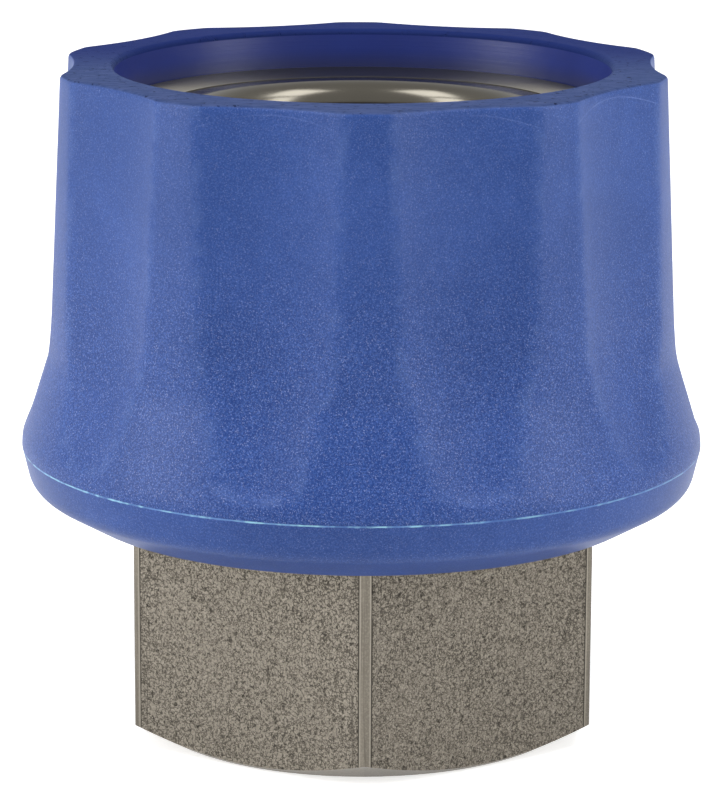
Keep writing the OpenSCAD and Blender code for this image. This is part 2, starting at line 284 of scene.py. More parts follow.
def arc(centre_r, centre_z, radius, start, end, steps=8):
    """Points of an arc in the half section, angles in degrees."""
    points = []
    for i in range(steps + 1):
        a = math.radians(start + (end - start) * i / steps)
        points.append((centre_r + radius * math.cos(a), centre_z + radius * math.sin(a)))
    return points


def filled_in(section, step):
    """The section with its long straight stretches cut into steps."""
    points = []
    for (r0, z0), (r1, z1) in zip(section, section[1:] + section[:1]):
        count = max(1, round(math.hypot(r1 - r0, z1 - z0) / step))
        points += [(r0 + (r1 - r0) * k / count, z0 + (z1 - z0) * k / count) for k in range(count)]
    return points


def mesh_piece(name, vertices, faces):
    """A closed mesh of these faces, its doubles merged and its faces pointing outward."""
    mesh = bpy.data.meshes.new(name)
    mesh.from_pydata(vertices, [], faces)
    work = bmesh.new()
    work.from_mesh(mesh)
    bmesh.ops.remove_doubles(work, verts=work.verts, dist=1e-7)
    bmesh.ops.recalc_face_normals(work, faces=work.faces)
    work.to_mesh(mesh)
    work.free()
    piece = bpy.data.objects.new(name, mesh)
    bpy.context.scene.collection.objects.link(piece)
    return piece


def softened(piece, sharp=32):
    """Smooth shading, with an edge kept sharp where its faces meet at more than that angle."""
    piece.data.shade_smooth()
    piece.data.set_sharp_from_angle(angle=math.radians(sharp))
    return piece


def turned(name, section, segments=256):
    """A closed half section of (radius, height) points turned round the axis."""
    vertices, faces = [], []
    count = len(section)
    for s in range(segments):
        a = 2 * math.pi * s / segments
        vertices += [(r * math.cos(a), r * math.sin(a), z) for r, z in section]
    for s in range(segments):
        here, there = s * count, (s + 1) % segments * count
        for k in range(count):
            n = (k + 1) % count
            if section[k][0] > 0 or section[n][0] > 0:
                faces.append((here + k, there + k, there + n, here + n))
    return mesh_piece(name, vertices, faces)


def evaluated(piece, name=None):
    """The piece with its modifiers worked out, as a new plain mesh."""
    bpy.context.view_layer.update()
    graph = bpy.context.evaluated_depsgraph_get()
    mesh = bpy.data.meshes.new_from_object(
        piece.evaluated_get(graph), preserve_all_data_layers=True, depsgraph=graph
    )
    name = name or piece.name
    bpy.data.objects.remove(piece)
    result = bpy.data.objects.new(name, mesh)
    result.name = mesh.name = name
    bpy.context.scene.collection.objects.link(result)
    return result


def carved(piece, cutter):
    """piece less cutter."""
    cut = piece.modifiers.new("cut", "BOOLEAN")
    cut.operation, cut.solver, cut.object = "DIFFERENCE", "EXACT", cutter
    result = evaluated(piece)
    bpy.data.objects.remove(cutter)
    return result


def dressed(piece, finish, body, slot, *nodes):
    """Gives a finished piece its material and its body, and hides the nodes that it stands for; slot is not
    used.
    """
    piece.data.materials.clear()
    piece.data.materials.append(finish.material)
    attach(piece, body)
    if nodes:
        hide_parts(*nodes)
    return piece


def smooth_copy(node):
    """A CAD node's own mesh with its loose triangles joined and shaded smooth."""
    piece = bpy.data.objects.new(node + "_looks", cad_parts[node].data.copy())
    bpy.context.scene.collection.objects.link(piece)
    work = bmesh.new()
    work.from_mesh(piece.data)
    bmesh.ops.remove_doubles(work, verts=work.verts, dist=2e-6)
    work.to_mesh(piece.data)
    work.free()
    return softened(piece)


# Geometry Nodes

class Growth(Board):
    """A Geometry Nodes tree with named inputs."""

    KINDS = {float: "NodeSocketFloat", int: "NodeSocketInt", bpy.types.Material: "NodeSocketMaterial"}

    def __init__(self, name, **inputs):
        super().__init__(bpy.data.node_groups.new(name, "GeometryNodeTree"))
        sides = self.tree.interface
        sides.new_socket("Geometry", in_out="INPUT", socket_type="NodeSocketGeometry")
        sides.new_socket("Geometry", in_out="OUTPUT", socket_type="NodeSocketGeometry")
        self.values, self.known = {}, {}
        for word, value in inputs.items():
            kind = self.KINDS[type(value)]
            socket = sides.new_socket(word.replace("_", " "), in_out="INPUT", socket_type=kind)
            self.values[socket.identifier] = value
            self.known[word] = socket.name
        self.entry = self.tree.nodes.new("NodeGroupInput")
        self.exit = self.tree.nodes.new("NodeGroupOutput")

    def given(self, word):
        return Flow(self, self.entry.outputs[self.known[word]])

    def geometry(self):
        return Flow(self, self.entry.outputs["Geometry"])

    def end(self, geometry):
        smooth = self.node("GeometryNodeSetShadeSmooth", None, {"Geometry": geometry})
        real = self.node("GeometryNodeRealizeInstances", None, {"Geometry": smooth})
        real = self.node(
            "GeometryNodeSetMaterial", None,
            {"Geometry": real, "Material": self.given("finish")},
        )
        self.tree.links.new(real.socket, self.exit.inputs["Geometry"])

    def grow(self, name, base=None):
        """The tree's result on base, or out of nothing, as a plain mesh."""
        if base is None:
            base = bpy.data.objects.new(name, bpy.data.meshes.new(name))
            bpy.context.scene.collection.objects.link(base)
        modifier = base.modifiers.new("growth", "NODES")
        modifier.node_group = self.tree
        for identifier, value in self.values.items():
            modifier[identifier] = value
        return evaluated(base, name)


# The finishes

def rings(f, pitch):
    """Fine turning marks: noise that changes only with radius and height."""
    place = f.node("ShaderNodeCombineXYZ", None, {0: f.radius / pitch, 1: f.z / pitch})
    return f.node(
        "ShaderNodeTexNoise", None,
        {"Vector": place, "Scale": 1.0, "Detail": 3.0, "Roughness": 0.65},
    )


def blue_plastic():
    """Moulded blue: a spark-eroded grain above the parting line, smoother below and inside."""
    f = Finish("blue_grip", colour(28, 74, 155), 0.4, specular_ior_level=0.2)
    clouds = f.noise(9 * MM, 3, 0.55)
    mottle = f.noise(1.3 * MM, 3, 0.6)
    grain = f.noise(0.13 * MM, 2, 0.7)
    fine = f.noise(0.075 * MM, 1, 0.5, offset=(0.3, 0.1, 0.2))
    inside = f.ramp(f.radius, 17.2 * MM, 16.6 * MM)
    skirt = f.ramp(f.z, parting_height + 0.05 * MM, parting_height - 0.05 * MM)
    # the grain is coarser low down, on the flare
    coarse = f.ramp(f.z, 38 * MM, 26 * MM, 0.4, 0.9) * (1 - inside) * (1 - 0.5 * skirt)
    ridge = f.attribute("ridge")
    shade = f.tint(f.ramp(clouds, 0.35, 0.65), colour(44, 72, 134), colour(51, 79, 143))
    shade = f.tint(f.ramp(mottle, 0.3, 0.7) * 0.5, shade, colour(40, 67, 127))
    shade = f.tint(f.ramp(grain, 0.6, 0.36) * 0.6 * coarse, shade, colour(6, 40, 104))
    shade = f.tint(f.ramp(grain, 0.5, 0.68) * 0.35 * coarse, shade, colour(92, 120, 190))
    # painted highlights: pale specks in the colour stand in for the grain's glints
    painted_glint = f.ramp(fine, 0.58, 0.72) * coarse
    shade = f.tint(painted_glint * 0.4, shade, colour(172, 178, 214))
    worn = f.ramp(ridge, 0.5, 1.0) * f.ramp(mottle, 0.4, 0.62)
    shade = f.tint(worn * 0.12, shade, colour(120, 144, 200))
    # a painted highlight: a faint light arc that hangs from rim to rim across each flute
    half = math.pi / flute_count
    turn = f.x.maths("ARCTAN2", f.y, f.x) - first_flute
    turn = turn.maths("WRAP", turn, half, -half) / half
    painted_highlight_arc = rim_height - 0.5 * MM - 1.6 * MM * turn * turn
    painted_highlight_arc = (1 - (f.z - painted_highlight_arc).size() / (0.07 * MM)).over(0.0) * f.ramp(turn.size(), 0.8, 0.72)
    shade = f.tint(painted_highlight_arc * f.ramp(clouds, 0.4, 0.6) * 0.2, shade, colour(140, 160, 214))
    # a long faint scratch
    scratch = (f.z - 34 * MM - 0.75 * (f.x - 15 * MM)).size()
    scratch = scratch + (f.noise(2 * MM) - 0.5).size() * 0.3 * MM
    scratch = f.ramp(scratch, 0.07 * MM, 0.02 * MM) * f.ramp(f.x, 12.5 * MM, 14 * MM)
    scratch = scratch * f.ramp(f.y, 0.0, -2 * MM)
    shade = f.tint(scratch * 0.3, shade, colour(20, 44, 110))
    rough = 0.4 + 0.1 * grain * coarse - 0.02 * skirt
    height = grain * coarse + 0.3 * mottle
    f.put(base_color=shade, roughness=rough, normal=f.relief(height, 0.014 * MM, 0.9))
    # the bore was turned, so it shines in upright bands; its colour is painted darker than the outside as
    # painted shade, and darker still towards the steel
    f.second(inside, specular_ior_level=0.5)
    bore = f.tint(f.ramp(clouds, 0.3, 0.7), colour(14, 33, 104), colour(18, 39, 114))
    # painted shade, deepening towards the steel
    painted_shade_depth = f.ramp(f.z, rim_height - 1.2 * MM, dish_edge)
    f.put(base_color=f.tint(painted_shade_depth * 0.6, bore, colour(18, 22, 54)))
    f.put(roughness=0.3 + 0.1 * mottle, normal=f.relief(rings(f, 0.08 * MM), 0.007 * MM))
    # the rim was faced in a lathe, so it is dull and torn in places; towards the back it is painted dark,
    # as painted shade
    faced = f.ramp(f.z, rim_height - 0.16 * MM, rim_height - 0.06 * MM)
    faced = faced.over(f.ramp(f.z, rim_height - 0.42 * MM, rim_height - 0.34 * MM) * inside)
    f.second(faced, specular_ior_level=0.06)
    lit_front = f.ramp(f.y, 8 * MM, -6 * MM)
    pits = f.ramp(f.noise(0.42 * MM, 3, 0.7, stretch=(1, 1, 0.5)), 0.6, 0.68)
    torn = f.noise(0.5 * MM, 4, 0.7, stretch=(0.35, 1.6, 1))
    face = f.tint(f.ramp(torn, 0.35, 0.65), colour(48, 64, 106), colour(68, 82, 124))
    face = f.tint(pits * 0.85, face, colour(18, 26, 56))
    # painted shade: the back of the rim is painted dark
    face = f.tint(lit_front, colour(28, 42, 96), face)
    height = torn - 1.5 * pits
    f.put(base_color=face, roughness=0.7 + 0.2 * torn, normal=f.relief(height, 0.03 * MM))
    return f


def flash_plastic():
    """The thin pale edge of plastic squeezed out along the parting line, worn off in places."""
    f = Finish("flash_edge", colour(120, 165, 205), 0.5)
    patches = f.noise(1.6 * MM, 3, 0.6)
    faded = f.ramp(f.noise(2.4 * MM, 3, 0.7, offset=(0.4, 0.2, 0)), 0.5, 0.62)
    # the flash also fades out more and more towards +x
    faded = faded.over(f.ramp(f.x, 2 * MM, 16 * MM, 0.0, 0.75)) * 0.85
    edge = f.tint(f.ramp(patches, 0.4, 0.6), colour(78, 118, 178), colour(138, 190, 214))
    f.put(base_color=f.tint(faded, edge, colour(36, 80, 150)))
    f.put(normal=f.relief(f.noise(0.2 * MM), 0.02 * MM))
    return f


def pitted_steel():
    """Bar steel with a dull, dark-speckled surface, its edges worn and its chamfers turned."""
    f = Finish("body_steel", colour(140, 133, 121), 0.5, 1.0)
    clouds = f.noise(6 * MM, 3, 0.6)
    worms = f.noise(0.25 * MM, 2, 0.6, stretch=(1, 1, 0.9))
    worms = (worms - 0.5).size()
    small = f.noise(0.13 * MM, 2, 0.6, offset=(0.2, 0.4, 0.1))
    specks = f.noise(0.3 * MM, 3, 0.65, offset=(0.7, 0.1, 0.3))
    drawn = f.noise(0.12 * MM, 2, 0.6, stretch=(1, 1, 0.02))
    # painted light and shade: each side of the hexagon is painted lighter or darker by the way it faces
    angle = f.x.maths("ARCTAN2", f.y, f.x)
    side = angle / math.radians(60) + 0.5
    side = side.maths("FLOOR", side)
    painted_side_light = 0.5 + 0.5 * (side * math.radians(60) + math.radians(150)).cosine()
    # the vertex is drawn smooth between two fine lines, each light beside dark
    edge = f.ramp(f.radius, 17.09 * MM, 17.12 * MM)
    light = edge * f.ramp(f.radius, 17.17 * MM, 17.14 * MM)
    dark = f.ramp(f.radius, 17.05 * MM, 17.07 * MM) * f.ramp(f.radius, 17.12 * MM, 17.1 * MM)
    beside = f.ramp(f.radius, 16.7 * MM, 16.9 * MM)
    slope = (f.radius - chamfer_circle) * chamfer_slope
    chamfer = f.ramp(f.z - slope, 0.03 * MM, -0.03 * MM)
    level = (clouds - 0.5) * 0.05 + 0.6 * edge + chamfer
    crack = f.ramp(worms + level, 0.075, 0.01)
    pit = f.ramp(specks - level, 0.56, 0.66)
    # painted light on one side of the hexagon, painted shade on the other
    shade = f.tint(painted_side_light, colour(90, 85, 77), colour(120, 114, 104))
    shade = f.tint(f.ramp(clouds, 0.35, 0.65) * 0.25, shade, colour(102, 96, 88))
    shade = f.tint(f.ramp(small, 0.42, 0.7) * 0.4, shade, colour(160, 153, 141))
    shade = f.tint(crack * 0.72, shade, colour(52, 48, 43))
    shade = f.tint(pit * 0.7, shade, colour(46, 43, 38))
    line = f.ramp(drawn, 0.56, 0.64) * beside
    shade = f.tint(line * 0.5, shade, colour(60, 56, 51))
    shade = f.tint(edge * 0.5, shade, colour(98, 93, 84))
    shade = f.tint(light * 0.5, shade, colour(150, 144, 133))
    shade = f.tint(dark * f.ramp(clouds, 0.3, 0.5, 0.3, 0.8), shade, colour(44, 41, 36))
    shade = f.tint(chamfer * 0.6, shade, colour(126, 121, 111))
    rough = 0.44 + 0.18 * crack + 0.12 * pit - 0.1 * edge - 0.1 * chamfer
    height = -1.0 * crack - 1.0 * pit + 0.5 * small - 0.4 * line
    f.put(base_color=shade, roughness=rough, normal=f.relief(height, 0.012 * MM, 0.8))
    return f


def turned_steel(name, base, roughness, marks=0.35, pitch=0.12 * MM):
    """Turned steel, its marks running round the axis."""
    f = Finish(name, base, roughness, 1.0)
    turning = rings(f, pitch)
    stain = f.noise(4 * MM, 3, 0.5)
    dark = tuple(0.75 * c for c in base)
    shade = f.tint(f.ramp(stain, 0.4, 0.75) * 0.3, base, dark)
    shade = f.tint(f.ramp(turning, 0.5, 0.8) * marks, shade, dark)
    rough = roughness + 0.08 * (turning - 0.5) + 0.05 * f.ramp(stain, 0.4, 0.7)
    f.put(base_color=shade, roughness=rough, normal=f.relief(turning, 0.0015 * MM, 0.5))
    return f


def rubber():
    """Black rubber with a little dust on it."""
    f = Finish("seal_rubber", colour(34, 34, 36), 0.5)
    skin = f.noise(0.5 * MM, 3, 0.6)
    dust = f.ramp(f.noise(0.15 * MM, 3, 0.6), 0.58, 0.72)
    f.put(base_color=f.tint(dust * 0.4, colour(30, 30, 32), colour(62, 62, 64)))
    f.put(roughness=0.42 + 0.2 * skin, normal=f.relief(skin, 0.01 * MM))
    return f


def pale_plastic():
    """Off-white plastic with faint flow marks."""
    f = Finish("guide_plastic", colour(225, 223, 214), 0.45, specular_ior_level=0.4)
    flow = f.noise(3 * MM, 3, 0.6)
    grain = f.noise(0.2 * MM, 2, 0.5)
    f.put(base_color=f.tint(f.ramp(flow, 0.3, 0.7), colour(228, 226, 218), colour(214, 211, 200)))
    f.put(roughness=0.4 + 0.15 * grain, normal=f.relief(grain, 0.01 * MM))
    return f


blue_grip = blue_plastic()
flash_edge = flash_plastic()
body_steel = pitted_steel()
socket_steel = turned_steel("socket_steel", colour(88, 85, 78), 0.2, 0.2)
polished_steel = turned_steel("polished_steel", colour(140, 136, 125), 0.42, 0.2)
polished_steel.put(anisotropic=0.8)
ball_steel = turned_steel("ball_steel", colour(200, 200, 198), 0.12, 0.1, 0.3 * MM)
spring_wire = turned_steel("spring_wire", colour(150, 150, 148), 0.3)
seal_rubber = rubber()
guide_plastic = pale_plastic()


# The hexagon and its inlet

def hexagon_body():
    """Hexagon with chamfered ends, spigot, and an inlet with a cut thread."""
    segments = 720
    edge_round, spigot_chamfer = 0.3 * MM, 0.2 * MM
    corner = apothem / math.cos(math.radians(30))
    thread_rings = 110
    thread_top = inlet_depth - 0.9 * MM
    vertices, faces = [], []
    for s in range(segments):
        a = 2 * math.pi * s / segments
        # a corner faces -Y, so the middle of a side lies at 0 degrees
        turn = (a + math.radians(30)) % math.radians(60) - math.radians(30)
        side = apothem / math.cos(turn)
        # the corner's rounding: a circle that touches both sides
        off = math.radians(30) - abs(turn)
        centre = corner - edge_round / math.cos(math.radians(30))
        across = centre * math.sin(off)
        if across < edge_round * math.sin(math.radians(30)):
            side = min(side, centre * math.cos(off) + math.sqrt(edge_round ** 2 - across ** 2))
        drop = (side - chamfer_circle) * chamfer_slope
        outer = [(chamfer_circle, 0), (side, drop)]
        outer += [(side, drop + (hex_top - 2 * drop) * k / 6) for k in range(1, 6)]
        outer += [(side, hex_top - drop), (chamfer_circle, hex_top), (spigot_radius, hex_top),
                  (spigot_radius, spigot_top - spigot_chamfer),
                  (spigot_radius - spigot_chamfer, spigot_top),
                  (tail_radius, spigot_top), (tail_radius, shoulder_height),
                  (shoulder_radius, shoulder_height), (shoulder_radius, inlet_depth),
                  (inlet_radius, inlet_depth)]
        for k in range(thread_rings + 1):
            z = inlet_depth * (1 - k / thread_rings)
            # full depth over a fifth of the pitch, with flanks that meet at the crest
            turns = ((z - thread_pitch * s / segments) / thread_pitch) % 1
            groove = min(1, max(0, 1.25 - 2.5 * abs(turns - 0.5)))
            fade = min(1, max(0, (thread_top - z) / thread_pitch))
            chamfer = max(0, inlet_chamfer - z)
            r = inlet_radius + max(thread_depth * groove * fade, chamfer)
            outer.append((r, z))
        vertices += [(r * math.cos(a), r * math.sin(a), z) for r, z in outer]
    count = len(outer)
    for s in range(segments):
        here, there = s * count, (s + 1) % segments * count
        for k in range(count):
            n = (k + 1) % count
            faces.append((here + k, there + k, there + n, here + n))
    return softened(mesh_piece("hexagon_body", vertices, faces), 24)


dressed(hexagon_body(), body_steel, "coupling_body", "body_steel", "hex_body")


# The socket tube

def tube_section():
    """The tube with its seat, its grooves, its lead-in and its rounded lip."""
    edge = 0.2 * MM
    lead_z = lip_height - lip_round - lead_in * 1.4
    play = 0.05 * MM
    seat_drop = 1.8 * MM
    body_low, body_high, body_depth = body_groove
    seal_low, seal_high, seal_depth = seal_groove
    stop_low, stop_high, stop_depth = stop_groove
    return (
        [(chamber_radius, guide_top), (tail_radius - play, guide_top),
         (tail_radius - play, body_low), (body_depth, body_low), (body_depth, body_high),
         (tail_radius - play, body_high), (tail_radius - play, spigot_top),
         (tube_radius, spigot_top), (tube_radius, stop_low), (stop_depth, stop_low),
         (stop_depth, stop_high), (tube_radius, stop_high)]
        + arc(tube_radius - edge, lip_height - edge, edge, 0, 90, 4)
        + arc(plug_radius + lead_in + lip_round, lip_height - lip_round, lip_round, 90, 180, 20)
        + [(plug_radius, lead_z), (plug_radius, seal_high), (seal_depth, seal_high),
           (seal_depth, seal_low), (plug_radius, seal_low), (plug_radius, nose_height),
           (throat_radius, nose_height), (throat_radius, seat_height),
           (chamber_radius, seat_height - seat_drop)]
    )


def ball_holes():
    """Cutters for the balls' holes, each with the narrow seat that keeps its ball in."""
    vertices, faces = [], []
    hole, seat = ball_radius + 0.05 * MM, ball_radius * 0.85
    inner_end, outer_end = plug_radius - 0.5 * MM, tube_radius + 1 * MM
    seat_low, seat_high = plug_radius - 0.1 * MM, ball_middle - 0.4 * MM
    profile = [(inner_end, 0), (inner_end, seat), (seat_low, seat), (seat_high, hole),
               (outer_end, hole), (outer_end, 0)]
    sides = 64
    for i in range(ball_count):
        turn = Matrix.Rotation(2 * math.pi * (i + 0.5) / ball_count, 4, "Z")
        base = len(vertices)
        for s in range(sides):
            a = 2 * math.pi * s / sides
            vertices += [turn @ Vector((x, r * math.cos(a), ball_height + r * math.sin(a)))
                         for x, r in profile]
        for s in range(sides):
            here = base + s * len(profile)
            there = base + (s + 1) % sides * len(profile)
            for k in range(len(profile) - 1):
                faces.append((here + k, there + k, there + k + 1, here + k + 1))
    return mesh_piece("ball_holes", [tuple(v) for v in vertices], faces)


socket_tube = carved(turned("socket_tube", tube_section(), 320), ball_holes())
dressed(softened(socket_tube), socket_steel, "coupling_body", "socket_steel", "socket_body")


# The locking sleeve

def sleeve_section():
    """The sleeve with its flange, its land and cone for the balls, and the stop ring's pocket."""
    edge = 0.25 * MM
    cone_low, cone_high = 31.3 * MM, 34.57 * MM
    pocket_low = 36.25 * MM
    pocket_high = pocket_low + 4.2 * MM
    return (
        [(spring_room, sleeve_bottom), (flange_radius, sleeve_bottom), (flange_radius, flange_top),
         (sleeve_outer, flange_top)]
        + arc(sleeve_outer - edge, dish_edge - edge, edge, 0, 90, 5)
        + [(sleeve_bore, lip_height), (sleeve_bore, pocket_high),
           (pocket_radius, pocket_high), (pocket_radius, pocket_low),
           (relief_radius, pocket_low), (relief_radius, cone_high), (sleeve_bore, cone_low),
           (sleeve_bore, land_bottom), (spring_room, land_bottom)]
    )


sleeve = softened(turned("locking_sleeve_turned", sleeve_section(), 320))
dressed(sleeve, polished_steel, "sleeve", "polished_steel", "locking_sleeve")


# The balls

for number in range(1, ball_count + 1):
    low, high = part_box(f"locking_ball_{number}")
    middle, radius = (low + high) / 2, (high.z - low.z) / 2
    half = arc(0, 0, radius, -90, 90, 32)
    half[0], half[-1] = (0, -radius), (0, radius)
    ball = turned(f"ball_{number}", half, 64)
    ball.data.transform(Matrix.Translation(middle))
    dressed(softened(ball, 60), ball_steel, f"ball_{number}", "ball_steel", f"locking_ball_{number}")


# The grip

def grip_blank():
    """The grip before its flutes: its section turned, each ring knowing how far a flute moves it."""
    widest, blend = 4.4 * MM, 6 * MM
    flare_angle, land_angle = 15.6, 2.4
    flare, land = math.radians(flare_angle), math.radians(land_angle)
    k_flare, k_land = math.tan(flare), math.tan(land)
    parting_radius = 22.7 * MM
    bulge = arc(parting_radius - widest, parting_height, widest, 0, flare_angle, 6)
    from_r, from_z = bulge[-1]
    meet_z = (from_r + from_z * k_flare - rim_land - rim_height * k_land) / (k_flare - k_land)
    meet_r = rim_land + (rim_height - meet_z) * k_land
    reach = blend * math.tan((flare - land) / 2)
    hollow_r = meet_r + reach * math.sin(flare) + blend * math.cos(flare)
    hollow_z = meet_z - reach * math.cos(flare) + blend * math.sin(flare)
    # the skirt below the parting line turns in to a flatter foot
    skirt_slope, foot_rise = 13.0, 30.0
    k_skirt, k_foot = math.tan(math.radians(skirt_slope)), 1 / math.tan(math.radians(foot_rise))
    foot_round, foot_edge, rim_round = 1.6 * MM, 0.3 * MM, 0.3 * MM
    foot_r = skirt_bore + 0.7 * MM
    turn_z = (parting_radius - foot_r - parting_height * k_skirt + skirt_foot * k_foot) / (k_foot - k_skirt)
    reach = foot_round * math.tan(math.radians(90 - foot_rise - skirt_slope) / 2)
    a = math.radians(skirt_slope)
    round_r = (parting_radius - (parting_height - turn_z) * k_skirt
               + reach * math.sin(a) - foot_round * math.cos(a))
    round_z = turn_z + reach * math.cos(a) + foot_round * math.sin(a)
    edge_r = foot_r - foot_edge * math.tan(math.radians(foot_rise) / 2)
    skirt = (arc(edge_r, skirt_foot + foot_edge, foot_edge, -90, foot_rise - 90, 4)
             + arc(round_r, round_z, foot_round, foot_rise - 90, -skirt_slope, 10))
    side = filled_in(
        bulge + arc(hollow_r, hollow_z, blend, 180 + flare_angle, 180 + land_angle, 6)
        + [(rim_land, rim_height - rim_round)], 0.22 * MM)
    # the closing stretch of that polygon isn't wanted
    top = max(range(len(side)), key=lambda k: side[k][1])
    side = side[:top]
    lip = 0.35 * MM
    inner_edge = grip_bore + lip
    outer_edge = rim_land - rim_round
    rim = arc(outer_edge, rim_height - rim_round, rim_round, land_angle, 90, 6)
    across = [(outer_edge + (inner_edge - outer_edge) * k / 8, rim_height) for k in range(1, 8)]
    counter_top = flange_top + 0.05 * MM
    ring_low, ring_high, ring_depth = 19.75 * MM, 20.95 * MM, 0.6 * MM
    step_high, step_low = ring_low - 0.6 * MM, ring_low - 1.4 * MM
    bore = (
        arc(inner_edge, rim_height - lip, lip, 90, 180, 6)
        + [(grip_bore, counter_top), (counter_bore, counter_top), (counter_bore, ring_high),
           (counter_bore + ring_depth, ring_high), (counter_bore + ring_depth, ring_low),
           (counter_bore, ring_low), (counter_bore, step_high), (skirt_bore, step_low),
           (skirt_bore, skirt_foot)]
    )
    section = skirt + side + rim + across + bore
    shares = ([1.0] * (len(skirt) + len(side) + len(rim))
              + [1 - k / 8 for k in range(1, 8)] + [0.0] * len(bore))
    outer = [r for r, z in skirt + side] + [rim_land] * (len(section) - len(skirt) - len(side))
    segments = 480
    blank = turned("grip_blank", section, segments)
    # merged doubles would change the order of the points, and the section has none
    for word, column in (("share", shares), ("outer_radius", outer)):
        layer = blank.data.attributes.new(word, "FLOAT", "POINT")
        layer.data.foreach_set("value", column * segments)
    return blank


def flutes():
    """Hollows each scooped round an axis of its own: a drafted floor, a sweep, a run-out, a nose."""
    g = Growth(
        "flutes", flutes=float(flute_count), first=first_flute, axis=39.05 * MM,
        hollow=20 * MM, rim=rim_height, draft=math.radians(3.1), runout=29 * MM,
        sweep=18 * MM, slope=math.radians(20), nose=3 * MM, nose_height=21.11 * MM,
        softness=0.35 * MM, ridge_width=0.7 * MM, finish=blue_grip.material,
    )
    place = g.node("GeometryNodeInputPosition")
    x = g.node("ShaderNodeSeparateXYZ", None, {0: place})
    y, z = x.part("Y"), x.part("Z")
    radius = (x * x + y * y).root()
    half = math.pi / g.given("flutes")
    turn = y.maths("ARCTAN2", y, x) - g.given("first")
    turn = turn.maths("WRAP", turn, half, -half)
    draft, slope = g.given("draft"), g.given("slope")
    sweep, nose = g.given("sweep"), g.given("nose")
    runout, nose_top = g.given("runout"), g.given("nose_height")
    # radius of the hollow at this height, from the rim down
    hollow = g.given("hollow") + (z.over(runout) - g.given("rim")) * draft.tangent()
    sweep_z = runout + sweep * draft.sine()
    sweep_end = sweep_z - sweep * slope.sine()
    drop = z.between(sweep_end, runout) - sweep_z
    hollow = hollow + (sweep * sweep - drop * drop).root() - sweep * draft.cosine()
    hollow = hollow + (z.between(nose_top, sweep_end) - sweep_end) * slope.tangent()
    nose_z = nose_top + nose * slope.sine()
    drop = z.between(nose_z - nose, nose_top) - nose_z
    hollow = hollow + (nose * nose - drop * drop).over(0.0).root() - nose * slope.cosine()
    # where a ray at this turn meets it
    axis = g.given("axis")
    side = axis * turn.sine()
    floor = axis * turn.cosine() - (hollow * hollow - side * side).over(0.0).root()
    outer = g.node("GeometryNodeInputNamedAttribute", None, {"Name": "outer_radius"})
    share = g.node("GeometryNodeInputNamedAttribute", None, {"Name": "share"})
    cut = outer.maths("SMOOTH_MIN", outer, floor, g.given("softness"))
    grown = radius + (cut - outer) * share
    scale = grown / radius
    moved = g.node("ShaderNodeCombineXYZ", None, {0: x * scale, 1: y * scale, 2: z})
    shape = g.node("GeometryNodeSetPosition", None, {"Geometry": g.geometry(), "Position": moved})
    ridge = (1 - (outer - floor).size() / g.given("ridge_width")).over(0.0) * share
    shape = g.node(
        "GeometryNodeStoreNamedAttribute", {"data_type": "FLOAT", "domain": "POINT"},
        {"Geometry": shape, "Name": "ridge", "Value": ridge},
    )
    g.end(shape)
    return g


grip = flutes().grow("grip_moulded", grip_blank())
dressed(softened(grip, 28), blue_grip, "sleeve", "blue_plastic", "grip_sleeve")


def parting_flash():
    """A thin wavering edge of plastic round the parting line."""
    # the thread is sunk in the grip by a little over its own thickness, so its crest alone shows
    thickness, sunk = 0.3 * MM, 0.301 * MM
    g = Growth(
        "parting_flash", radius=grip_radius - sunk, height=parting_height, thickness=thickness,
        waver=0.07 * MM, wave=2.2 * MM, finish=flash_edge.material,
    )
    ring = g.node(
        "GeometryNodeCurvePrimitiveCircle", None, {"Resolution": 900, "Radius": g.given("radius")}
    )
    place = g.node("GeometryNodeInputPosition")
    noise = g.node(
        "ShaderNodeTexNoise", None,
        {"Vector": place, "Scale": 1 / g.given("wave"), "Detail": 4.0, "Roughness": 0.7},
    )
    lift = g.given("height") + (noise - 0.5) * g.given("waver")
    offset = g.node("ShaderNodeCombineXYZ", None, {2: lift})
    ring = g.node("GeometryNodeSetPosition", None, {"Geometry": ring, "Offset": offset})
    width = g.node(
        "ShaderNodeTexNoise", None,
        {"Vector": place, "Scale": 0.4 / g.given("wave"), "Detail": 5.0, "Roughness": 0.75},
    )
    width = g.ramp(width, 0.3, 0.5, 0.94, 1.0)
    ring = g.node("GeometryNodeSetCurveRadius", None, {"Curve": ring, "Radius": width})
    profile = g.node(
        "GeometryNodeCurvePrimitiveCircle", None, {"Resolution": 24, "Radius": g.given("thickness")}
    )
    tube = g.node("GeometryNodeCurveToMesh", None, {"Curve": ring, "Profile Curve": profile})
    g.end(tube)
    return g


dressed(parting_flash().grow("grip_parting_flash"), flash_edge, "sleeve", "blue_plastic")


# The springs

